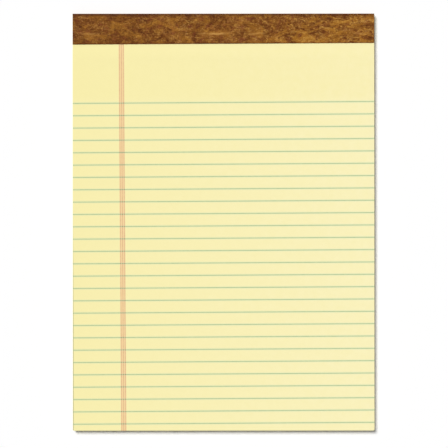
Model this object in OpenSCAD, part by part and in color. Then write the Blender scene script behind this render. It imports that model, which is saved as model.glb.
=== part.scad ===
// Letter-size legal pad: perforated ruled sheets on a chipboard back, wire-stitched
// through the stub and bound at the head with one folded strip of leatherette paper.
// The pad lies on its back: +Z leaves the writing page, +Y points to the bound head.

/* [Sheets] */
// Trimmed width of the pad
sheet_w = 215.9; // [150:0.1:300]
// Trimmed length of a sheet with its stub
sheet_l = 298.45; // [220:0.05:400]
// Number of sheets in the block
sheet_count = 50; // [25:1:100]
// Thickness of one sheet where the block lies loose
sheet_loose_t = 0.09; // [0.085:0.001:0.12]
// Thickness of one sheet where the binding clamps the block
sheet_clamped_t = 0.085; // [0.06:0.001:0.09]
// Length over which the clamped block swells to its loose thickness
swell_l = 9; // [4:0.5:30]
// Radius of the worn corners at the tail
corner_r = 1; // [0.2:0.1:3]

/* [Perforation] */
// Length of the stub above the row of perforations
stub_l = 19.05; // [16:0.05:20]
// Length of one cut in the row
perf_cut_l = 1.6; // [0.8:0.1:3]
// Length of paper left between two cuts
perf_tie_l = 0.8; // [0.4:0.1:2]
// Width of one cut
perf_cut_w = 0.2; // [0.1:0.05:0.4]

/* [Printing] */
// Distance from the head fold to the first rule, on the centre line
rule_head_l = 63.6; // [40:0.1:120]
// Distance from one rule to the next
rule_pitch = 8.83; // [6:0.01:14]
// Least distance left between the last rule and the tail
rule_tail_l = 4; // [2:0.5:20]
// Width of a rule
rule_w = 0.5; // [0.2:0.05:1]
// Distance from the left edge to the middle of the margin lines, at half length
margin_x = 35.6; // [20:0.1:60]
// Number of margin lines side by side
margin_line_count = 3; // [1:1:4]
// Distance from one margin line to the next
margin_line_pitch = 1.43; // [0.8:0.01:2.5]
// Width of a margin line
margin_line_w = 0.55; // [0.2:0.05:0.7]
// Thickness of the dried ink
ink_t = 0.02; // [0.01:0.005:0.05]
// Angle by which the printing sits askew of the trimmed edges
print_skew = 0.33; // [0:0.01:0.6]

/* [Back board] */
// Thickness of the chipboard
board_t = 1; // [0.9:0.05:2.5]

/* [Binding strip] */
// Thickness of the leatherette paper
strip_t = 0.2; // [0.1:0.01:0.25]
// Depth of the front flap from the head fold, on the centre line
front_flap_l = 21.6; // [20.5:0.1:35]
// Depth of the back flap from the head fold, on the centre line
back_flap_l = 21; // [17:0.1:35]
// Angle by which the strip sits askew of the head
strip_skew = 0.27; // [0:0.01:0.5]

/* [Staples] */
// Number of wire staples through the stub
staple_count = 3; // [2:1:5]
// Distance from the side of the pad to the middle of the end staple
staple_side_l = 12; // [9:0.5:40]
// Distance from the head fold to the row of staples
staple_inset = 14.4; // [6:0.1:17]
// Width of a staple over the middles of its legs
staple_crown_l = 13; // [10:0.5:20]
// Diameter of the wire
staple_wire_d = 0.5; // [0.35:0.01:0.6]
// Radius of the wire's bends, to the middle of the wire
staple_bend_r = 0.6; // [0.4:0.05:1]
// Length of a clinched leg behind the board
staple_clinch_l = 4.5; // [2:0.1:4.8]
// Room left around the wire in paper and board
staple_room = 0.04; // [0.02:0.01:0.06]

/* [Hidden] */

// Extra reach of a cutter past the face it opens
overrun = 1;
// Straight steps that draw the swell
swell_steps = 12;
// Straight steps that draw a worn corner
corner_steps = 8;
$fn = 48;

// Levels above the surface the pad lies on
board_z = board_t;
stub_z = board_z + sheet_count * sheet_clamped_t;
page_z = board_z + sheet_count * sheet_loose_t;
strip_z = stub_z + strip_t;

// Positions along the pad, centred over its whole length with the strip
pad_l = sheet_l + strip_t;
fold_y = pad_l / 2;
head_y = fold_y - strip_t;
tail_y = -pad_l / 2;
flap_drop = tan(strip_skew) * sheet_w / 2;
swell_y = fold_y - front_flap_l - flap_drop;
left_x = -sheet_w / 2;

// Printing
rule_room = pad_l - rule_head_l - rule_tail_l - tan(print_skew) * sheet_w / 2;
rule_count = floor(rule_room / rule_pitch) + 1;

// Perforation
perf_pitch = perf_cut_l + perf_tie_l;
perf_count = floor((sheet_w - perf_tie_l) / perf_pitch);
perf_y = head_y - stub_l;

// Staples
staple_pitch = (sheet_w - 2 * staple_side_l) / (staple_count - 1);
staple_y = fold_y - staple_inset;
crown_z = stub_z - staple_wire_d / 2 - staple_room;
clinch_z = strip_t + staple_wire_d / 2 + staple_room;
bore_d = staple_wire_d + 2 * staple_room;

// Height share of the swell at a share s of its length
function swell_share(s) = s * s * (3 - 2 * s);

// Line of the top page from the stub to the tail, raised by a lift
function page_line(lift) = concat(
    [[head_y, stub_z + lift]],
    [for (i = [0 : swell_steps])
        [swell_y - swell_l * i / swell_steps,
         stub_z + (page_z - stub_z) * swell_share(i / swell_steps) + lift]],
    [[tail_y, page_z + lift]]);

// The same points in the opposite order
function reversed(list) = [for (i = [len(list) - 1 : -1 : 0]) list[i]];

// Worn tail corner at the left, side -1, or the right, side 1, from the side edge to the tail
function tail_corner(side) = [for (i = [0 : corner_steps])
    let (turn = 90 * i / corner_steps)
    [side * (sheet_w / 2 - corner_r + corner_r * cos(turn)),
     tail_y + corner_r - corner_r * sin(turn)]];

// Draws a section across the full width of the pad
module across() {
    translate([left_x, 0, 0])
        rotate([90, 0, 90])
            linear_extrude(sheet_w)
                children();
}

// The trimmed outline of the pad between two levels, its tail corners worn round
module trimmed(low_z, high_z) {
    translate([0, 0, low_z])
        linear_extrude(high_z - low_z)
            polygon(concat([[left_x, head_y]], tail_corner(-1), reversed(tail_corner(1)),
                           [[-left_x, head_y]]));
}

// All that lies on the tail side of a flap's free edge, between two levels
module tail_side(flap_l, skew, low_z, high_z) {
    translate([0, fold_y - flap_l, low_z])
        rotate([0, 0, skew])
            translate([-sheet_w, -sheet_l, 0])
                cube([2 * sheet_w, sheet_l, high_z - low_z]);
}

// One staple of a wire of diameter d, clinched inwards, its crown along X and its ends made longer
module staple(d, longer = 0) {
    crown_straight = staple_crown_l - 2 * staple_bend_r;
    leg_x = staple_crown_l / 2;
    translate([-crown_straight / 2, 0, crown_z])
        rotate([0, 90, 0])
            cylinder(d = d, h = crown_straight);
    for (side = [0, 1])
        mirror([side, 0, 0]) {
            translate([leg_x - staple_bend_r, 0, crown_z - staple_bend_r])
                rotate([90, 0, 0])
                    bend(d);
            translate([leg_x, 0, clinch_z + staple_bend_r])
                cylinder(d = d, h = crown_z - clinch_z - 2 * staple_bend_r);
            translate([leg_x - staple_bend_r, 0, clinch_z + staple_bend_r])
                rotate([-90, 0, 0])
                    bend(d);
            translate([leg_x - staple_clinch_l - longer, 0, clinch_z])
                rotate([0, 90, 0])
                    cylinder(d = d, h = staple_clinch_l - staple_bend_r + longer);
        }
}

// A quarter turn of the wire
module bend(d) {
    rotate_extrude(angle = 90)
        translate([staple_bend_r, 0])
            circle(d = d);
}

// Places its children at each staple
module at_staples() {
    for (i = [0 : staple_count - 1])
        translate([left_x + staple_side_l + i * staple_pitch, staple_y, 0])
            children();
}

// The bed a staple presses for itself, with open grooves for its crown and its clinched legs
module staple_bed() {
    staple(bore_d, staple_room);
    groove_l = staple_crown_l + bore_d;
    translate([-groove_l / 2, -bore_d / 2, crown_z])
        cube([groove_l, bore_d, stub_z + overrun - crown_z]);
    clinch_groove_l = staple_clinch_l + bore_d / 2 + staple_room;
    for (side = [0, 1])
        mirror([side, 0, 0])
            translate([groove_l / 2 - clinch_groove_l, -bore_d / 2, strip_t - overrun])
                cube([clinch_groove_l, bore_d, clinch_z - strip_t + overrun]);
}

// Row of cuts that lets a sheet tear from its stub
module perforation() {
    row_l = perf_count * perf_pitch - perf_tie_l;
    for (i = [0 : perf_count - 1])
        translate([i * perf_pitch - row_l / 2, perf_y - perf_cut_w / 2, board_z - overrun])
            cube([perf_cut_l, perf_cut_w, stub_z - board_z + 2 * overrun]);
}

// Block of sheets, clamped flat at the stub and swelling to the loose page
module sheets() {
    color("#f8efb2")
        difference() {
            intersection() {
                across()
                    polygon(concat([[tail_y, board_z], [head_y, board_z]], page_line(0)));
                trimmed(board_z, page_z);
            }
            perforation();
            at_staples()
                staple_bed();
        }
}

// Skin of ink over the part of the page that the strip leaves open
module ink_skin() {
    intersection() {
        across()
            polygon(concat(page_line(ink_t), reversed(page_line(0))));
        tail_side(front_flap_l, strip_skew, board_z, page_z + overrun);
    }
}

// Places the printing askew, with its origin where the centre line meets the head fold
module print_frame() {
    translate([0, fold_y, board_z])
        rotate([0, 0, print_skew])
            children();
}

// Outlines of the margin lines, standing through the page
module margin_bars() {
    mid_x = left_x + margin_x - tan(print_skew) * pad_l / 2;
    first_x = mid_x - (margin_line_count - 1) / 2 * margin_line_pitch;
    print_frame()
        for (i = [0 : margin_line_count - 1])
            translate([first_x + i * margin_line_pitch - margin_line_w / 2, -2 * pad_l, 0])
                cube([margin_line_w, 3 * pad_l, page_z]);
}

// Rules across the page, stopping at each side of a margin line
module ruling() {
    color("#9fcdb4")
        difference() {
            intersection() {
                ink_skin();
                print_frame()
                    for (i = [0 : rule_count - 1])
                        translate([-sheet_w, -rule_head_l - i * rule_pitch - rule_w / 2, 0])
                            cube([2 * sheet_w, rule_w, page_z]);
            }
            margin_bars();
        }
}

// Margin lines down the left of the page, from the strip to the tail
module margin_lines() {
    color("#dc9a78")
        intersection() {
            ink_skin();
            margin_bars();
        }
}

// Chipboard back, pressed thinner at the head so that the back flap lies flush
module back_board() {
    color("#a89c88")
        difference() {
            union() {
                trimmed(strip_t, board_z);
                intersection() {
                    trimmed(0, board_z);
                    tail_side(back_flap_l, -strip_skew, 0, board_z);
                }
            }
            at_staples()
                staple_bed();
        }
}

// Section of the strip, folded round the head with both flaps left long
module strip_section() {
    flap_y = fold_y - max(front_flap_l, back_flap_l) - 2 * flap_drop;
    difference() {
        union() {
            translate([flap_y, 0])
                square([head_y - flap_y, strip_z]);
            translate([head_y, strip_t])
                square([strip_t, strip_z - 2 * strip_t]);
            for (z = [strip_t, stub_z])
                translate([head_y, z])
                    circle(r = strip_t);
        }
        translate([flap_y - overrun, strip_t])
            square([head_y - flap_y + overrun, stub_z - strip_t]);
    }
}

// Binding strip, one piece folded over the head, each flap ending at its own askew edge
module binding_strip() {
    color("#845428")
        difference() {
            across()
                strip_section();
            tail_side(front_flap_l, strip_skew, board_z, strip_z + overrun);
            tail_side(back_flap_l, -strip_skew, -overrun, board_z);
        }
}

// Wire staples that hold the stub and the board together
module staples() {
    color("#b4b6b8")
        at_staples()
            staple(staple_wire_d);
}

sheets();
ruling();
margin_lines();
back_board();
binding_strip();
staples();
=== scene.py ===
"""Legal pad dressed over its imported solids, in metres, in the part's own frame."""
import math
import random

import bpy
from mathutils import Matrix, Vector, noise


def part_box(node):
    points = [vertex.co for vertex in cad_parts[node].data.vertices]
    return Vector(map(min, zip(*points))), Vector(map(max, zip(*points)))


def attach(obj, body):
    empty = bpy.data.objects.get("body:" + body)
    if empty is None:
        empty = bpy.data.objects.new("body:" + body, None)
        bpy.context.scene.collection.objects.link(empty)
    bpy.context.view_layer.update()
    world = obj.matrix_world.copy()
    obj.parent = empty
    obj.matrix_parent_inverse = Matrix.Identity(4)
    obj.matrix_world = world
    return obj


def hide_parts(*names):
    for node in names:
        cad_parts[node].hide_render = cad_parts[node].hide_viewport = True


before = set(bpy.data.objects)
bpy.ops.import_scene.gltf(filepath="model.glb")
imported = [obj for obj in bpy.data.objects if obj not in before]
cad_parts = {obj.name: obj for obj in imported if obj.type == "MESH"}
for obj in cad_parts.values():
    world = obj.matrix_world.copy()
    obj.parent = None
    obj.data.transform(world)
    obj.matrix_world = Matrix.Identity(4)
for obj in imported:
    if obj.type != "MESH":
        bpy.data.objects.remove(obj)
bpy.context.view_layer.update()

MM = 0.001
random.seed(11)

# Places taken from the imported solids
SHEETS_LOW, SHEETS_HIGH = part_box("sheets")
STRIP_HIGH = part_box("binding_strip")[1]
HALF_W = SHEETS_HIGH[0]
TAIL_Y, HEAD_Y = SHEETS_LOW[1], SHEETS_HIGH[1]
BOARD_Z, PAGE_Z = SHEETS_LOW[2], SHEETS_HIGH[2]
FOLD_Y, STRIP_Z = STRIP_HIGH[1], STRIP_HIGH[2]
STRIP_T = FOLD_Y - HEAD_Y
STUB_Z = STRIP_Z - STRIP_T
PAD_L = FOLD_Y - TAIL_Y

# Sizes repeated from the part's source
SHEET_COUNT = 50
SWELL_L = 9 * MM
SWELL_STEPS = 12
CORNER_R = 1 * MM
FRONT_FLAP_L = 21.6 * MM
BACK_FLAP_L = 21 * MM
STRIP_SLOPE = math.tan(math.radians(0.27))
PRINT_SKEW = math.radians(0.33)
RULE_HEAD_L = 63.6 * MM
RULE_PITCH = 8.83 * MM
RULE_COUNT = 27
RULE_W = 0.5 * MM
MARGIN_X = 35.6 * MM
MARGIN_LINE_COUNT = 3
MARGIN_LINE_PITCH = 1.43 * MM
MARGIN_LINE_W = 0.55 * MM
INK_T = 0.02 * MM
STAPLE_SIDE_L = 12 * MM
STAPLE_HEAD_L = 14.4 * MM
STAPLE_HALF_L = 6.5 * MM
CLINCH_L = 4.5 * MM

# Places worked out from them
STAPLE_XS = (-HALF_W + STAPLE_SIDE_L, 0.0, HALF_W - STAPLE_SIDE_L)
STAPLE_Y = FOLD_Y - STAPLE_HEAD_L
FIRST_RULE_Y = FOLD_Y - RULE_HEAD_L
# The sheets begin to swell at the lower corner of the strip's askew edge
SWELL_Y = FOLD_Y - FRONT_FLAP_L - STRIP_SLOPE * HALF_W
# Middle of the margin lines, counted to the right from the printing's centre line
MARGIN_U = -HALF_W + MARGIN_X - math.tan(PRINT_SKEW) * PAD_L / 2

# Spacing of the meshes' points
SIDE_STEP = 4 * MM
HEAD_STEP = 24 * MM
STRIP_STEP = 0.9 * MM
SPINE_STEP = 1 * MM
CORNER_TURNS = [math.radians(15 * i) for i in range(1, 6)]

# Cut edges of the sheets: how far each is drawn in, and how far it may lie off the others
SHEET_T = 0.083 * MM
SHEET_INSET = 0.07 * MM
TOP_SHEET_INSET = 0.01 * MM
LEAST_INSET = 0.005 * MM
FOOT_INSET = 0.05 * MM
SIDE_SHIFT = 0.03 * MM
SIDE_LEAN = 0.05 * MM
TAIL_SHIFT = 0.05 * MM
# How far the top page is drawn back from the cut tail, because the loose sheets rise over the swell
TAIL_LEAN = 0.21 * MM

# Looks of the page, from the edges and from the lines printed on it
PAGE_FADE_X = 110 * MM
RULED_FADE_L = 5 * MM
MARGIN_SOAK_L = 0.4 * MM
RULE_SOAK_L = 1.2 * MM
# Painted shade along the page's left edge: its widths, and where it begins and where it is full
LEFT_SHADE_CORE_W, LEFT_SHADE_W = 0.2 * MM, 0.9 * MM
LEFT_SHADE_FROM_Y, LEFT_SHADE_FULL_Y = 16 * MM, -80 * MM

# Looks of the strip: it is lighter to the right, has painted shade at its folds and cut edges, and a
# painted highlight over the wire
STRIP_FADE_X = 100 * MM
GOLD_FROM_X, GOLD_FULL_X = 20 * MM, 60 * MM
# Widths of the painted shade along the strip's folds and along its cut edges
FOLD_SHADE_CORE_W, FOLD_SHADE_W = 0.7 * MM, 2.4 * MM
CUT_EDGE_SHADE_CORE_W, CUT_EDGE_SHADE_W = 0.25 * MM, 1.3 * MM
# Painted highlight along the row of staples: how far it wavers, and the widths of its line and of its
# broader halo
HIGHLIGHT_WAVER = 3.0 * MM
HIGHLIGHT_CORE_W, HIGHLIGHT_W = 0.15 * MM, 1.0 * MM
HIGHLIGHT_HALO_CORE_W, HIGHLIGHT_HALO_W = 0.5 * MM, 4.0 * MM
# Stretches of the strip, from x to x, that get a pale painted highlight along the row of staples, and how
# much
STAPLE_HIGHLIGHTS = ((-103 * MM, -88 * MM, 0.45), (-20 * MM, 8 * MM, 1.0), (17 * MM, 31 * MM, 0.6),
        (90 * MM, 106 * MM, 0.5))


# Node helpers

def srgb(red, green, blue):
    """Linear colour with alpha from a colour as it looks on screen, 0 to 255."""
    def linear(level):
        share = level / 255
        return share / 12.92 if share <= 0.04045 else ((share + 0.055) / 1.055) ** 2.4
    return (linear(red), linear(green), linear(blue), 1.0)


def new_material(name):
    material = bpy.data.materials.new(name)
    material.use_nodes = True
    tree = material.node_tree
    return material, tree, tree.nodes["Principled BSDF"]


def add(tree, kind, inputs=(), **settings):
    """A node with its settings, whose inputs are given as (name, value or output socket)."""
    made = tree.nodes.new(kind)
    for key, value in settings.items():
        setattr(made, key, value)
    for key, value in inputs:
        if isinstance(value, bpy.types.NodeSocket):
            tree.links.new(value, made.inputs[key])
        else:
            made.inputs[key].default_value = value
    return made


def place(tree, stretch=(1, 1, 1), shift=(0, 0, 0)):
    """The point on the object, stretched and shifted."""
    coords = add(tree, "ShaderNodeTexCoord")
    mapping = add(tree, "ShaderNodeMapping", [
        ("Vector", coords.outputs["Object"]), ("Location", shift), ("Scale", stretch)])
    return mapping.outputs["Vector"]


def axes(tree, vector):
    """The X, Y and Z of a vector."""
    split = add(tree, "ShaderNodeSeparateXYZ", [(0, vector)])
    return split.outputs["X"], split.outputs["Y"], split.outputs["Z"]


def grain(tree, where, scale, detail, roughness, distortion=0.0):
    made = add(tree, "ShaderNodeTexNoise", [
        ("Vector", where), ("Scale", scale), ("Detail", detail),
        ("Roughness", roughness), ("Distortion", distortion)])
    return made.outputs["Fac"]


def math_node(tree, operation, first, second=0.0):
    return add(tree, "ShaderNodeMath", [(0, first), (1, second)], operation=operation).outputs[0]


def plus(tree, first, second):
    return math_node(tree, "ADD", first, second)


def minus(tree, first, second):
    return math_node(tree, "SUBTRACT", first, second)


def times(tree, first, second):
    return math_node(tree, "MULTIPLY", first, second)


def larger(tree, first, second):
    return math_node(tree, "MAXIMUM", first, second)


def smaller(tree, first, second):
    return math_node(tree, "MINIMUM", first, second)


def away(tree, value, middle):
    """How far a value lies from a middle one, to either side."""
    return math_node(tree, "ABSOLUTE", minus(tree, value, middle))


def weighted(tree, first, *others):
    """The sum of values that are given as (value, weight)."""
    total = times(tree, *first)
    for other in others:
        total = plus(tree, total, times(tree, *other))
    return total


def spread(tree, value, low, high, to_low=0.0, to_high=1.0):
    """Stretches low..high to to_low..to_high, held at the ends."""
    made = add(tree, "ShaderNodeMapRange", [
        ("Value", value), ("From Min", low), ("From Max", high),
        ("To Min", to_low), ("To Max", to_high)])
    return made.outputs["Result"]


def fading(tree, distance, core, end, strength=1.0):
    """Full strength up to the core's edge, then fading to nothing at the end."""
    return spread(tree, distance, core, end, strength, 0.0)


def ramp(tree, value, stops):
    made = add(tree, "ShaderNodeValToRGB", [("Fac", value)])
    points = made.color_ramp.elements
    while len(points) < len(stops):
        points.new(0.5)
    for point, (position, colour) in zip(points, stops):
        point.position = position
        point.color = colour
    return made.outputs["Color"]


def mixed(tree, share, first, second):
    """The first colour, with its share of the second mixed in."""
    made = add(tree, "ShaderNodeMix", [(0, share), (6, first), (7, second)], data_type="RGBA")
    return made.outputs[2]


def dress(tree, shader, colour, roughness, specular):
    tree.links.new(colour, shader.inputs["Base Color"])
    tree.links.new(roughness, shader.inputs["Roughness"])
    shader.inputs["Specular IOR Level"].default_value = specular


def bump(tree, shader, height, distance, strength):
    made = add(tree, "ShaderNodeBump", [
        ("Height", height), ("Distance", distance), ("Strength", strength)])
    tree.links.new(made.outputs["Normal"], shader.inputs["Normal"])


def seen_directly(tree):
    """1 for rays that show the backdrop itself, straight, mirrored or through glass, and else 0."""
    rays = add(tree, "ShaderNodeLightPath")
    seen = larger(tree, rays.outputs["Is Camera Ray"], rays.outputs["Is Glossy Ray"])
    return larger(tree, seen, rays.outputs["Is Transmission Ray"])


# Materials

def soaked_ink(tree, x, y):
    """How much margin ink and how much rule ink has soaked into the paper beside the printed lines."""
    skew_cos, skew_sin = math.cos(PRINT_SKEW), math.sin(PRINT_SKEW)
    down = minus(tree, FOLD_Y, y)
    u = minus(tree, times(tree, x, skew_cos), times(tree, down, skew_sin))
    band_half_w = (MARGIN_LINE_COUNT - 1) / 2 * MARGIN_LINE_PITCH + MARGIN_LINE_W / 2
    margin = fading(tree, away(tree, u, MARGIN_U), band_half_w, band_half_w + MARGIN_SOAK_L)
    below_fold = plus(tree, times(tree, down, skew_cos), times(tree, x, skew_sin))
    row = math_node(tree, "DIVIDE", minus(tree, below_fold, RULE_HEAD_L), RULE_PITCH)
    nearest = larger(tree, math_node(tree, "ROUND", row), 0.0)
    nearest = smaller(tree, nearest, RULE_COUNT - 1.0)
    rule = fading(tree, away(tree, row, nearest), RULE_W / 2 / RULE_PITCH, RULE_SOAK_L / RULE_PITCH)
    return margin, rule


def painted_edge_shade(tree, x, y):
    """How much painted shade darkens the left edge of the page, in its lower half."""
    near = fading(tree, plus(tree, x, HALF_W), LEFT_SHADE_CORE_W, LEFT_SHADE_W, 0.7)
    return times(tree, near, spread(tree, y, LEFT_SHADE_FROM_Y, LEFT_SHADE_FULL_Y))


def page_colour(tree, x, y, clouds, fibre):
    """The dyed page, with its ink soaked in and painted shade along its left edge."""
    fade = spread(tree, x, -PAGE_FADE_X, PAGE_FADE_X)
    dye = mixed(tree, fade, srgb(248, 237, 168), srgb(250, 240, 184))
    dye = mixed(tree, spread(tree, clouds, 0.3, 0.7, 0.0, 0.5), dye, srgb(246, 235, 167))
    dye = mixed(tree, spread(tree, fibre, 0.35, 0.75, 0.0, 0.22), dye, srgb(255, 250, 208))
    # The ruled part of the page is a shade paler than its head, most of all at the right
    ruled = spread(tree, y, FIRST_RULE_Y + RULED_FADE_L, FIRST_RULE_Y)
    paler = times(tree, ruled, spread(tree, x, -HALF_W, HALF_W, 0.06, 0.17))
    dye = mixed(tree, paler, dye, srgb(255, 250, 214))
    margin, rule = soaked_ink(tree, x, y)
    dye = mixed(tree, times(tree, margin, 0.64), dye, srgb(240, 198, 146))
    dye = mixed(tree, times(tree, rule, 0.28), dye, srgb(146, 214, 196))
    # Painted shade along the lower half of the left edge, standing in for the shaded side of the sheets
    return mixed(tree, painted_edge_shade(tree, x, y), dye, srgb(150, 145, 106))


def paper_material():
    """Yellow writing paper: cloudy formation, fine fibre, and cut edges that show the sheets."""
    material, tree, shader = new_material("yellow_paper")
    here = place(tree)
    x, y, _z = axes(tree, here)
    clouds = grain(tree, here, scale=190, detail=4, roughness=0.6)
    fibre = grain(tree, place(tree, stretch=(1.0, 1.7, 1.0)), scale=2600, detail=4, roughness=0.7)
    page = page_colour(tree, x, y, clouds, fibre)
    edge_lines = grain(tree, place(tree, stretch=(14, 14, 10500)), scale=1.0, detail=2, roughness=0.5)
    edge = ramp(tree, edge_lines, [
        (0.30, srgb(214, 198, 126)), (0.50, srgb(240, 227, 158)), (0.68, srgb(250, 241, 182))])
    coords = add(tree, "ShaderNodeTexCoord")
    up = math_node(tree, "ABSOLUTE", axes(tree, coords.outputs["Normal"])[2])
    colour = mixed(tree, spread(tree, up, 0.35, 0.7), edge, page)
    dress(tree, shader, colour, spread(tree, fibre, 0.3, 0.7, 0.78, 0.92), specular=0.25)
    bump(tree, shader, fibre, distance=0.02 * MM, strength=0.25)
    return material


def ink_material(name, thin, thick):
    """Printing ink that lies a little unevenly on the fibre."""
    material, tree, shader = new_material(name)
    patches = grain(tree, place(tree), scale=420, detail=3, roughness=0.6)
    fibre = grain(tree, place(tree, shift=(0.4, 0.2, 0.1)), scale=3600, detail=3, roughness=0.7)
    cover = weighted(tree, (patches, 0.55), (fibre, 0.45))
    colour = ramp(tree, cover, [(0.36, thin), (0.64, thick)])
    dress(tree, shader, colour, spread(tree, fibre, 0.3, 0.7, 0.62, 0.82), specular=0.3)
    bump(tree, shader, fibre, distance=0.02 * MM, strength=0.2)
    return material


def painted_staple_highlight(tree, x, y):
    """How much painted highlight lies along the ridges over the staples, and how much of a broader,
    golden painted highlight lies around it.
    """
    sway = grain(tree, place(tree, stretch=(1.0, 0.0, 0.0), shift=(0.4, 0.0, 0.0)),
                 scale=130, detail=2, roughness=0.5)
    line_y = plus(tree, times(tree, minus(tree, sway, 0.5), HIGHLIGHT_WAVER), STAPLE_Y)
    beside = away(tree, y, line_y)
    highlighted = None
    for x_from, x_to, strength in STAPLE_HIGHLIGHTS:
        half_l = (x_to - x_from) / 2
        along = away(tree, x, (x_from + x_to) / 2)
        stretch = fading(tree, along, half_l * 0.55, half_l, strength)
        highlighted = stretch if highlighted is None else larger(tree, highlighted, stretch)
    patchy = grain(tree, place(tree, stretch=(0.3, 1.0, 1.0), shift=(0.8, 0.3, 0.1)),
                   scale=600, detail=4, roughness=0.7)
    line = times(tree, fading(tree, beside, HIGHLIGHT_CORE_W, HIGHLIGHT_W), spread(tree, patchy, 0.36, 0.58))
    highlight_halo = fading(tree, beside, HIGHLIGHT_HALO_CORE_W, HIGHLIGHT_HALO_W)
    return times(tree, line, highlighted), times(tree, highlight_halo, highlighted)


def edge_distances(tree, x, y, z):
    """How far a point of the strip lies from the nearest fold line, and from the nearest free edge."""
    from_fold = minus(tree, FOLD_Y, y)
    from_face = smaller(tree, z, minus(tree, STRIP_Z, z))
    from_corner = larger(tree, from_fold, from_face)
    front = spread(tree, z, STRIP_Z * 0.4, STRIP_Z * 0.6)
    flap_l = spread(tree, front, 0.0, 1.0, BACK_FLAP_L, FRONT_FLAP_L)
    slope = spread(tree, front, 0.0, 1.0, -STRIP_SLOPE, STRIP_SLOPE)
    edge_from_fold = minus(tree, flap_l, times(tree, x, slope))
    return from_corner, away(tree, edge_from_fold, from_fold)


def hide_cells(tree, here):
    """The cells of the pressed hide: each one's own tone, and how far a point lies from the crease."""
    scale = 760
    bend = add(tree, "ShaderNodeTexNoise", [("Vector", here), ("Scale", 420.0), ("Detail", 3.0)])
    wander = add(tree, "ShaderNodeVectorMath", [
        (0, bend.outputs["Color"]), ("Scale", 1.6 * MM)], operation="SCALE")
    bent = add(tree, "ShaderNodeVectorMath", [
        (0, place(tree, stretch=(0.8, 1.1, 1.0))), (1, wander.outputs[0])])
    cells = add(tree, "ShaderNodeTexVoronoi", [("Vector", bent.outputs[0]), ("Scale", scale)])
    creases = add(tree, "ShaderNodeTexVoronoi", [("Vector", bent.outputs[0]), ("Scale", scale)],
                  feature="DISTANCE_TO_EDGE")
    return axes(tree, cells.outputs["Color"])[0], creases.outputs["Distance"]


def pale_lines(tree, colour, blotches, x):
    """Thin veins, and broader golden wisps that gather to the right, both where the hide is light."""
    veins = grain(tree, place(tree, stretch=(0.6, 1.3, 1.0), shift=(0.2, 0.4, 0.6)),
                  scale=110, detail=4, roughness=0.55, distortion=1.4)
    vein = times(tree, fading(tree, away(tree, veins, 0.5), 0.0, 0.010, 0.7),
                 spread(tree, blotches, 0.42, 0.6))
    colour = mixed(tree, vein, colour, srgb(200, 150, 92))
    wisps = grain(tree, place(tree, stretch=(0.5, 1.4, 1.0), shift=(0.9, 0.3, 0.1)),
                  scale=135, detail=5, roughness=0.62, distortion=2.2)
    wisp = times(tree, fading(tree, away(tree, wisps, 0.5), 0.0, 0.040),
                 spread(tree, x, -STRIP_FADE_X, STRIP_FADE_X, 0.25, 0.95))
    wisp = times(tree, wisp, spread(tree, blotches, 0.44, 0.58))
    return mixed(tree, wisp, colour, srgb(214, 160, 74))


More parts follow.
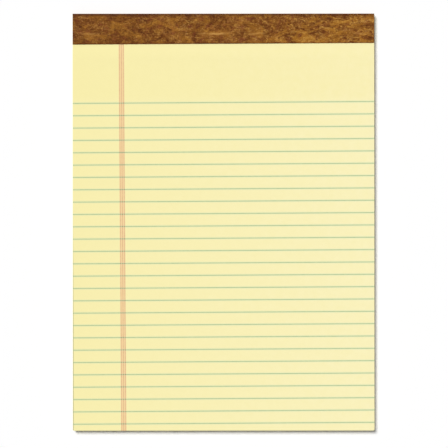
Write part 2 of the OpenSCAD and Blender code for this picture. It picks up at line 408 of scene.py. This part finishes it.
def leatherette_material():
    """Paper printed and pressed to look like mottled brown hide, with a low sheen."""
    material, tree, shader = new_material("leatherette")
    here = place(tree)
    x, y, z = axes(tree, here)
    patches = grain(tree, place(tree, shift=(0.37, 0.07, 0.0)),
                    scale=62, detail=4, roughness=0.6, distortion=0.6)
    blotches = grain(tree, place(tree, stretch=(0.8, 1.15, 1.0), shift=(0.11, 0.53, 0.0)),
                     scale=300, detail=5, roughness=0.7, distortion=0.4)
    pores = grain(tree, place(tree, stretch=(0.85, 1.1, 1.0)), scale=900, detail=4, roughness=0.72)
    cell_tone, from_crease = hide_cells(tree, here)
    tone = weighted(tree, (patches, 0.22), (blotches, 0.27), (pores, 0.43), (cell_tone, 0.06))
    tone = plus(tree, tone, spread(tree, x, -STRIP_FADE_X, STRIP_FADE_X, -0.012, 0.020))
    colour = ramp(tree, tone, [
        (0.40, srgb(80, 38, 5)), (0.46, srgb(103, 56, 13)), (0.51, srgb(118, 69, 22)),
        (0.57, srgb(143, 92, 39)), (0.66, srgb(192, 143, 84))])
    red = grain(tree, place(tree, shift=(0.7, 0.9, 0.2)), scale=210, detail=5, roughness=0.7)
    colour = mixed(tree, spread(tree, red, 0.52, 0.64, 0.0, 0.65), colour, srgb(120, 60, 32))
    gold = grain(tree, place(tree, stretch=(0.7, 1.2, 1.0), shift=(0.7, 0.62, 0.4)),
                 scale=105, detail=6, roughness=0.7, distortion=0.9)
    # To the right there is more gold, and it is patchier
    contrast = spread(tree, x, GOLD_FROM_X, GOLD_FULL_X, 1.0, 2.2)
    gold = times(tree, minus(tree, gold, 0.5), contrast)
    gold = plus(tree, gold, spread(tree, x, GOLD_FROM_X, GOLD_FULL_X, 0.5, 0.545))
    colour = mixed(tree, spread(tree, gold, 0.48, 0.68, 0.0, 0.7), colour, srgb(178, 120, 40))
    colour = pale_lines(tree, colour, blotches, x)
    crease = times(tree, fading(tree, from_crease, 0.01, 0.10, 0.6),
                   spread(tree, pores, 0.40, 0.60, 1.0, 0.2))
    colour = mixed(tree, crease, colour, srgb(64, 27, 3))
    # Painted highlight on the ridges over the staples, with a broader golden glow around it
    highlight, highlight_halo = painted_staple_highlight(tree, x, y)
    colour = mixed(tree, times(tree, highlight_halo, 0.3), colour, srgb(176, 116, 44))
    colour = mixed(tree, times(tree, highlight, 0.8), colour, srgb(206, 154, 82))
    # Painted shade along the strip's folds and cut edges
    from_fold, from_free = edge_distances(tree, x, y, z)
    dark = larger(tree, fading(tree, from_fold, FOLD_SHADE_CORE_W, FOLD_SHADE_W, 0.62),
                  fading(tree, from_free, CUT_EDGE_SHADE_CORE_W, CUT_EDGE_SHADE_W, 0.5))
    colour = mixed(tree, dark, colour, srgb(70, 32, 6))
    dress(tree, shader, colour, spread(tree, blotches, 0.3, 0.7, 0.5, 0.66), specular=0.06)
    height = plus(tree, times(tree, pores, 0.6), spread(tree, from_crease, 0.0, 0.25))
    bump(tree, shader, height, distance=0.05 * MM, strength=0.4)
    return material


def specks(tree, scale, shift, stretch, share):
    """Scattered specks of fibre: how much each point is covered by one."""
    where = place(tree, stretch=(1.0, stretch, 1.0), shift=(shift, shift, 0.0))
    dots = add(tree, "ShaderNodeTexVoronoi", [("Vector", where), ("Scale", scale)])
    clusters = grain(tree, place(tree, shift=(shift + 0.5, 0.2, 0.0)),
                     scale=scale * 0.4, detail=2, roughness=0.5)
    return times(tree, fading(tree, dots.outputs["Distance"], 0.09, 0.2, share),
                 spread(tree, clusters, 0.5, 0.58))


def chipboard_material():
    """Grey-brown board of recycled fibre, a little cloudy, with dark and pale specks."""
    material, tree, shader = new_material("chipboard")
    clouds = grain(tree, place(tree), scale=130, detail=5, roughness=0.62, distortion=0.3)
    fibre = grain(tree, place(tree, stretch=(1.0, 2.2, 1.0)), scale=1500, detail=5, roughness=0.75)
    threads = grain(tree, place(tree, stretch=(0.5, 2.6, 1.0), shift=(0.2, 0.7, 0.0)),
                    scale=620, detail=4, roughness=0.7, distortion=0.6)
    tone = weighted(tree, (clouds, 0.22), (fibre, 0.48), (threads, 0.30))
    colour = ramp(tree, tone, [
        (0.36, srgb(136, 122, 102)), (0.5, srgb(166, 153, 132)), (0.64, srgb(192, 181, 160))])
    dark = specks(tree, scale=520, shift=0.0, stretch=1.0, share=0.7)
    colour = mixed(tree, dark, colour, srgb(88, 76, 62))
    pale = specks(tree, scale=620, shift=0.3, stretch=0.4, share=0.6)
    colour = mixed(tree, pale, colour, srgb(216, 207, 188))
    brown = specks(tree, scale=300, shift=0.6, stretch=0.5, share=0.45)
    colour = mixed(tree, brown, colour, srgb(112, 94, 72))
    dress(tree, shader, colour, spread(tree, fibre, 0.3, 0.7, 0.82, 0.95), specular=0.2)
    bump(tree, shader, fibre, distance=0.05 * MM, strength=0.4)
    return material


def wire_material():
    """Bright drawn wire."""
    material, tree, shader = new_material("staple_wire")
    draw = grain(tree, place(tree, stretch=(0.2, 1.0, 1.0)), scale=2400, detail=3, roughness=0.6)
    colour = ramp(tree, draw, [(0.3, srgb(176, 178, 181)), (0.7, srgb(208, 209, 211))])
    dress(tree, shader, colour, spread(tree, draw, 0.3, 0.7, 0.24, 0.4), specular=0.5)
    shader.inputs["Metallic"].default_value = 1.0
    return material


# Meshes

def mesh_piece(name, verts, faces, materials, smooth_angle=None, face_materials=None):
    """A closed mesh that rides on the pad's one body."""
    mesh = bpy.data.meshes.new(name)
    mesh.from_pydata([tuple(v) for v in verts], [], faces)
    for material in materials:
        mesh.materials.append(material)
    if face_materials:
        mesh.polygons.foreach_set("material_index", face_materials)
    if smooth_angle is not None:
        for polygon in mesh.polygons:
            polygon.use_smooth = True
        mesh.set_sharp_from_angle(angle=smooth_angle)
    mesh.update()
    piece = bpy.data.objects.new(name, mesh)
    bpy.context.scene.collection.objects.link(piece)
    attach(piece, "root")
    return piece


def steps(first, last, size):
    """Even places from first to last, about one size apart."""
    count = max(1, round(abs(last - first) / size))
    return [first + (last - first) * i / count for i in range(count + 1)]


def swell_z(y):
    """Height of the top page at y: flat on the stub, then swelling to the loose page."""
    share = min(max((SWELL_Y - y) / SWELL_L, 0.0), 1.0)
    return STUB_Z + (PAGE_Z - STUB_Z) * share * share * (3 - 2 * share)


def swell_levels():
    """Y places down the swell."""
    return steps(SWELL_Y, SWELL_Y - SWELL_L, SWELL_L / SWELL_STEPS)


def side_levels():
    """Y places down a side of the sheets, closer together over the swell."""
    over_stub = steps(HEAD_Y, SWELL_Y, SIDE_STEP)
    to_tail = steps(SWELL_Y - SWELL_L, TAIL_Y + CORNER_R, SIDE_STEP)
    return over_stub + swell_levels()[1:] + to_tail[1:]


def trimmed_loop(left_ys, right_ys):
    """Points and outward directions round the trimmed outline: from the head down the left side,
    along the tail, up the right side and back along the head. Also the count of its tail points."""
    corner_y = TAIL_Y + CORNER_R
    corner_x = HALF_W - CORNER_R
    tail = []
    for turn in CORNER_TURNS:
        out = (-math.cos(turn), -math.sin(turn))
        tail.append(((-corner_x + out[0] * CORNER_R, corner_y + out[1] * CORNER_R), out))
    tail += [((x, TAIL_Y), (0, -1)) for x in steps(-corner_x, corner_x, SIDE_STEP)]
    for turn in reversed(CORNER_TURNS):
        out = (math.cos(turn), -math.sin(turn))
        tail.append(((corner_x + out[0] * CORNER_R, corner_y + out[1] * CORNER_R), out))
    loop = [((-HALF_W, y), (-1, 0)) for y in left_ys] + tail
    loop += [((HALF_W, y), (1, 0)) for y in reversed(right_ys)]
    loop += [((x, HEAD_Y), (0, 1)) for x in steps(HALF_W, -HALF_W, HEAD_STEP)[1:-1]]
    return loop, len(tail)


def at_head(out):
    """Whether an outward direction is that of the bound head, which is trimmed as one."""
    return out[1] > 0.5


def drawn_in(point, out, depth):
    """A point of the outline, drawn in from it by a depth."""
    return point[0] - out[0] * depth, point[1] - out[1] * depth


def walled_block(rings, side_count, tail_count):
    """Verts and faces of a closed block from rings of points, lowest first. Its two broad faces
    run in bands from side to side, so that they can follow a swell or a step."""
    loop_count = len(rings[0])
    verts = [point for ring in rings for point in ring]
    faces = []
    for level in range(len(rings) - 1):
        low, high = level * loop_count, (level + 1) * loop_count
        for i in range(loop_count):
            nxt = (i + 1) % loop_count
            faces.append((low + i, low + nxt, high + nxt, high + i))
    head_right = 2 * side_count + tail_count - 1
    bands = [[0, 1] + list(range(head_right - 1, loop_count))]
    bands += [[j, j + 1, head_right - j - 1, head_right - j] for j in range(1, side_count - 1)]
    bands.append(list(range(side_count - 1, side_count + tail_count + 1)))
    top = (len(rings) - 1) * loop_count
    faces += [tuple(top + i for i in band) for band in bands]
    faces += [tuple(reversed(band)) for band in bands]
    return verts, faces


def sheet_shifts():
    """For each sheet its shift to the side, its lean to the side and its shift at the tail, and how
    far its cut edge is drawn in. The top sheet lies true."""
    shifts = []
    for k in range(SHEET_COUNT):
        side = random.uniform(-SIDE_SHIFT, SIDE_SHIFT)
        lean = random.uniform(-SIDE_LEAN, SIDE_LEAN)
        tail = random.uniform(-TAIL_SHIFT, TAIL_SHIFT)
        top = k == SHEET_COUNT - 1
        shifts.append((0.0, 0.0, 0.0, TOP_SHEET_INSET) if top else (side, lean, tail, SHEET_INSET))
    return shifts


def sheet_rooms(loop):
    """For each point of the outline, the room that is left above each sheet. It comes in waves."""
    waves_per_m, sheet_offset = 22, 5.37
    least, wave_gain = 0.12, 9
    rooms = []
    for (x, y), _out in loop:
        spare = swell_z(y) - BOARD_Z - SHEET_COUNT * SHEET_T
        weights = []
        for k in range(SHEET_COUNT):
            wave = noise.noise(Vector((x * waves_per_m, y * waves_per_m, k * sheet_offset)))
            weights.append(least + max(0.0, wave) ** 2 * wave_gain)
        total = sum(weights)
        rooms.append([spare * weight / total for weight in weights])
    return rooms


def sheet_rings(loop):
    """Rings of points up the walls of the sheets: the foot on the board, and then for each sheet
    the lower and the upper end of its cut edge and the groove above it."""
    groove_least, groove_most, groove_gain = 0.015 * MM, 0.16 * MM, 5
    edge_lift, low_share, high_share = 0.004 * MM, 0.15, 0.85
    rooms = sheet_rooms(loop)
    base_z = [BOARD_Z] * len(loop)
    rings = [[(*drawn_in(point, out, 0.0 if at_head(out) else FOOT_INSET), BOARD_Z)
              for point, out in loop]]
    for k, (side_shift, side_lean, tail_shift, inset) in enumerate(sheet_shifts()):
        low, high, groove = [], [], []
        for i, ((x, y), out) in enumerate(loop):
            loose = (HEAD_Y - y) / (HEAD_Y - TAIL_Y)
            room = rooms[i][k]
            move = out[0] * (side_shift + side_lean * loose) + out[1] * tail_shift * loose
            depth = 0.0 if at_head(out) else max(inset - move, LEAST_INSET)
            dip = 0.0 if at_head(out) else depth + min(groove_most, groove_least + groove_gain * room)
            lean = TAIL_LEAN * max(-out[1], 0.0) / SHEET_COUNT
            low_point, high_point = (x, y + lean * k), (x, y + lean * (k + 1))
            next_z = base_z[i] + SHEET_T + room
            low.append((*drawn_in(low_point, out, depth), base_z[i] + low_share * room + edge_lift))
            high.append((*drawn_in(high_point, out, depth), base_z[i] + SHEET_T + high_share * room))
            groove.append((*drawn_in(high_point, out, dip), next_z))
            base_z[i] = next_z
        rings += [low, high, groove]
    # There is no groove above the top sheet, and its upper end lies at the height of the page
    rings.pop()
    rings[-1] = [(x, y, swell_z(point[1])) for (x, y, _z), (point, _out) in zip(rings[-1], loop)]
    return rings


def make_page_stack(material):
    """The sheets as a block whose walls show each sheet's cut edge, and whose tail slants a little."""
    side_ys = side_levels()
    loop, tail_count = trimmed_loop(side_ys, side_ys)
    verts, faces = walled_block(sheet_rings(loop), len(side_ys), tail_count)
    piece = mesh_piece("page_stack", verts, faces, [material], math.radians(25))
    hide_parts("sheets")


def make_board(material):
    """Chipboard with a slightly frayed cut edge, stepped where the back flap is pressed in."""
    step_run = 0.02 * MM
    bevel, fray_depth = 0.07 * MM, 0.05 * MM
    frays_per_m, fray_rows = 260, 9
    pressed_shares = steps(0.0, 1.0, 0.2)
    # Levels of the edge, as shares of its height, and how much of the bevel each is tucked in
    edge_levels = ((0.0, 1.0), (0.08, 0.0), (0.24, 0.35), (0.42, 0.1), (0.6, 0.45), (0.78, 0.1),
                   (0.93, 0.0), (1.0, 0.9))

    def side_ys(x):
        edge_y = FOLD_Y - BACK_FLAP_L - STRIP_SLOPE * x
        pressed_y = edge_y + step_run
        pressed_ys = [HEAD_Y + (pressed_y - HEAD_Y) * share for share in pressed_shares]
        return pressed_ys + steps(edge_y, TAIL_Y + CORNER_R, SIDE_STEP)

    left_ys, right_ys = side_ys(-HALF_W), side_ys(HALF_W)
    loop, tail_count = trimmed_loop(left_ys, right_ys)
    pressed_count = len(pressed_shares)
    last_open = 2 * len(left_ys) + tail_count - pressed_count
    rings = []
    for share, tuck in edge_levels:
        ring = []
        for i, ((x, y), out) in enumerate(loop):
            pressed = i < pressed_count or i >= last_open
            base = STRIP_T if pressed else 0.0
            fray = noise.noise(Vector((x * frays_per_m, y * frays_per_m, share * fray_rows))) / 2 + 0.5
            depth = 0.0 if at_head(out) else bevel * tuck + fray_depth * fray
            ring.append((*drawn_in((x, y), out, depth), base + (BOARD_Z - base) * share))
        rings.append(ring)
    verts, faces = walled_block(rings, len(left_ys), tail_count)
    piece = mesh_piece("chip_board", verts, faces, [material], math.radians(35))
    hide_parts("back_board")


def ridge(x, y, x_from, x_to, half_w):
    """Height share of a soft ridge along a straight wire."""
    across = max(x_from - x, 0.0, x - x_to)
    distance = math.hypot(across, y - STAPLE_Y) / half_w
    return math.exp(-distance * distance)


def front_lift(x, y):
    """How far the crowns under the front flap show through."""
    lift, half_w = 0.055 * MM, 0.55 * MM
    return lift * max(ridge(x, y, sx - STAPLE_HALF_L, sx + STAPLE_HALF_L, half_w) for sx in STAPLE_XS)


def back_sink(x, y):
    """How far the back flap is pressed into the grooves of the clinched legs."""
    sink, half_w = 0.05 * MM, 0.5 * MM
    deepest = 0.0
    for sx in STAPLE_XS:
        for side in (-1, 1):
            ends = sorted((sx + side * STAPLE_HALF_L, sx + side * (STAPLE_HALF_L - CLINCH_L)))
            deepest = max(deepest, ridge(x, y, ends[0], ends[1], half_w))
    return sink * deepest


def flap_depths():
    """Distances below the fold at which both flaps have points: close together over the wire."""
    wire_step, wire_steps = 0.25 * MM, 8
    over_wire = [STAPLE_HEAD_L + wire_step * i for i in range(-wire_steps, wire_steps + 1)]
    elsewhere = [depth * MM for depth in (1.2, 3.0, 5.0, 7.5, 10.0, 11.6, 17.2, 19.0, 20.2)]
    return sorted(over_wire + elsewhere)


def cut_waver(x, row):
    """How far a flap's cut edge strays from its line at x."""
    reach, waves_per_m = 0.03 * MM, 160
    return reach * noise.noise(Vector((x * waves_per_m, row, 0)))


def strip_section(x):
    """Outer and inner points of the folded strip at x, from the front flap's free edge round to
    the back flap's, and for each outer point the inner point behind it."""
    bevel = 0.04 * MM
    depths = flap_depths()
    front_y = FOLD_Y - FRONT_FLAP_L + STRIP_SLOPE * x + cut_waver(x, 3.1)
    back_y = FOLD_Y - BACK_FLAP_L - STRIP_SLOPE * x + cut_waver(x, 9.4)
    outer, inner, behind = [], [], []

    def put(out_point, in_point):
        if not inner or inner[-1] != in_point:
            inner.append(in_point)
        outer.append(out_point)
        behind.append(len(inner) - 1)

    put((front_y, STRIP_Z - bevel), (front_y, STUB_Z))
    put((front_y + bevel, STRIP_Z), (front_y + bevel, STUB_Z))
    for depth in reversed(depths):
        y = FOLD_Y - depth
        put((y, STRIP_Z + front_lift(x, y)), (y, STUB_Z))
    put((HEAD_Y, STRIP_Z), (HEAD_Y, STUB_Z))
    for turn in CORNER_TURNS:
        put((HEAD_Y + STRIP_T * math.sin(turn), STUB_Z + STRIP_T * math.cos(turn)), (HEAD_Y, STUB_Z))
    for z in steps(STUB_Z, STRIP_T, SPINE_STEP):
        put((FOLD_Y, z), (HEAD_Y, z))
    for turn in CORNER_TURNS:
        put((HEAD_Y + STRIP_T * math.cos(turn), STRIP_T - STRIP_T * math.sin(turn)), (HEAD_Y, STRIP_T))
    put((HEAD_Y, 0.0), (HEAD_Y, STRIP_T))
    for depth in depths:
        y = FOLD_Y - depth
        put((y, back_sink(x, y)), (y, STRIP_T))
    put((back_y + bevel, 0.0), (back_y + bevel, STRIP_T))
    put((back_y, bevel), (back_y, STRIP_T))
    return outer, inner, behind


def make_strip(material):
    """The binding strip, folded over the head, with the staples showing faintly through it."""
    xs = steps(-HALF_W, HALF_W, STRIP_STEP)
    sections = [strip_section(x) for x in xs]
    behind = sections[0][2]
    outer_count, inner_count = len(sections[0][0]), len(sections[0][1])
    column = outer_count + inner_count
    verts = []
    for x, (outer, inner, _behind) in zip(xs, sections):
        verts += [(x, y, z) for y, z in outer + inner]
    faces = []
    for c in range(len(xs) - 1):
        here, there = c * column, (c + 1) * column
        for p in range(outer_count - 1):
            faces.append((here + p, there + p, there + p + 1, here + p + 1))
        here_in, there_in = here + outer_count, there + outer_count
        for q in range(inner_count - 1):
            faces.append((here_in + q, here_in + q + 1, there_in + q + 1, there_in + q))
        faces.append((here, here_in, there_in, there))
        last_out, last_in = outer_count - 1, inner_count - 1
        faces.append((here + last_out, there + last_out, there_in + last_in, here_in + last_in))
    for base, flip in ((0, False), ((len(xs) - 1) * column, True)):
        for p in range(outer_count - 1):
            end = [base + p, base + p + 1, base + outer_count + behind[p + 1]]
            if behind[p] != behind[p + 1]:
                end.append(base + outer_count + behind[p])
            faces.append(tuple(reversed(end)) if flip else tuple(end))
    piece = mesh_piece("strip_cover", verts, faces, [material], math.radians(40))
    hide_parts("binding_strip")


def printed_point(u, v):
    """A point of the printing, u to the right and v up from where the centre line meets the fold."""
    return (u * math.cos(PRINT_SKEW) - v * math.sin(PRINT_SKEW),
            FOLD_Y + u * math.sin(PRINT_SKEW) + v * math.cos(PRINT_SKEW))


def margin_cuts(u, page_end):
    """Places down a margin line at which it is cut across, and whether a rule begins there."""
    least_l = 0.05 * MM
    x_mid = printed_point(u, -PAD_L / 2)[0]
    start = -FRONT_FLAP_L + (STRIP_SLOPE - PRINT_SKEW) * x_mid
    cuts = [(start, False)]
    cuts += [(y - FOLD_Y, False) for y in swell_levels() if y - FOLD_Y < start - least_l]
    for k in range(RULE_COUNT):
        middle = -RULE_HEAD_L - k * RULE_PITCH
        cuts += [(middle + RULE_W / 2, True), (middle - RULE_W / 2, False)]
    cuts.append((page_end - FOLD_Y - u * math.sin(PRINT_SKEW), False))
    return cuts


def make_margin(ink, overprint):
    """The margin lines, darker where they are printed over a rule."""
    page_end = TAIL_Y + TAIL_LEAN + TOP_SHEET_INSET
    verts, faces, inks = [], [], []
    for line in range(MARGIN_LINE_COUNT):
        u = MARGIN_U + (line - (MARGIN_LINE_COUNT - 1) / 2) * MARGIN_LINE_PITCH
        cuts = margin_cuts(u, page_end)
        base = len(verts)
        for v, _over in cuts:
            for side in (-1, 1):
                x, y = printed_point(u + side * MARGIN_LINE_W / 2, v)
                y = max(y, page_end)
                verts += [(x, y, swell_z(y)), (x, y, swell_z(y) + INK_T)]
        for c in range(len(cuts) - 1):
            a, b = base + 4 * c, base + 4 * (c + 1)
            faces += [(a + 1, b + 1, b + 3, a + 3), (a, a + 2, b + 2, b), (a, b, b + 1, a + 1),
                      (a + 2, a + 3, b + 3, b + 2)]
            inks += [1 if cuts[c][1] else 0] * 4
        end = base + 4 * (len(cuts) - 1)
        faces += [(base, base + 1, base + 3, base + 2), (end, end + 2, end + 3, end + 1)]
        inks += [0, 0]
    piece = mesh_piece("margin_print", verts, faces, [ink, overprint], None, inks)
    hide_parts("margin_lines")


def build():
    """All pieces of the pad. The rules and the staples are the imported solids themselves."""
    rule_ink = ink_material("rule_ink", srgb(184, 199, 147), srgb(159, 185, 136))
    margin_ink = ink_material("margin_ink", srgb(235, 194, 148), srgb(222, 173, 131))
    overprint = ink_material("overprint", srgb(150, 140, 108), srgb(118, 112, 88))
    make_page_stack(paper_material())
    make_board(chipboard_material())
    make_strip(leatherette_material())
    make_margin(margin_ink, overprint)
    for node_name, material in (("ruling", rule_ink), ("staples", wire_material())):
        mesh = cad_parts[node_name].data
        mesh.materials.clear()
        mesh.materials.append(material)


# Stage

def floor():
    """A plain pale floor that is seen as white and keeps the pad's shadow."""
    half = 3.0
    pale = (0.95, 0.95, 0.95, 1.0)
    white = (1.0, 1.0, 1.0, 1.0)
    glow = 0.055
    mesh = bpy.data.meshes.new("floor")
    corners = [(-half, -half, 0), (half, -half, 0), (half, half, 0), (-half, half, 0)]
    mesh.from_pydata(corners, [], [(0, 1, 2, 3)])
    obj = bpy.data.objects.new("floor", mesh)
    bpy.context.scene.collection.objects.link(obj)
    material, tree, shader = new_material("floor")
    shader.inputs["Base Color"].default_value = pale
    shader.inputs["Roughness"].default_value = 1.0
    shader.inputs["Specular IOR Level"].default_value = 0.0
    shader.inputs["Emission Color"].default_value = white
    tree.links.new(times(tree, seen_directly(tree), glow), shader.inputs["Emission Strength"])
    mesh.materials.append(material)


def lights():
    """One broad key light from the upper left, and a weak fill from the world, which is seen as white."""
    fill = 0.12
    key_energy = 3.16
    key_angle = math.radians(26)
    key_direction = Vector((0.35, -0.45, -1.0))
    world = bpy.data.worlds.new("studio")
    bpy.context.scene.world = world
    world.use_nodes = True
    tree = world.node_tree
    background = tree.nodes["Background"]
    background.inputs["Color"].default_value = (1.0, 1.0, 1.0, 1.0)
    strength = spread(tree, seen_directly(tree), 0.0, 1.0, fill, 1.0)
    tree.links.new(strength, background.inputs["Strength"])
    data = bpy.data.lights.new("key", "SUN")
    data.energy = key_energy
    data.angle = key_angle
    key = bpy.data.objects.new("key", data)
    key.rotation_euler = key_direction.to_track_quat("-Z", "Y").to_euler()
    bpy.context.scene.collection.objects.link(key)


def camera():
    """A long lens straight above the page, as in the photograph."""
    frame_w = 320.6 * MM
    centre_x, centre_y = 0.33 * MM, -1.25 * MM
    roll = math.radians(-0.041)
    data = bpy.data.cameras.new("camera")
    data.lens = 135
    data.sensor_width = 36
    data.clip_start = 0.01
    data.clip_end = 20
    obj = bpy.data.objects.new("camera", data)
    obj.location = (centre_x, centre_y, PAGE_Z + frame_w * data.lens / data.sensor_width)
    obj.rotation_euler = (0.0, 0.0, roll)
    bpy.context.scene.collection.objects.link(obj)
    bpy.context.scene.camera = obj


build()
floor()
lights()
camera()
bpy.context.scene.view_settings.view_transform = "Standard"
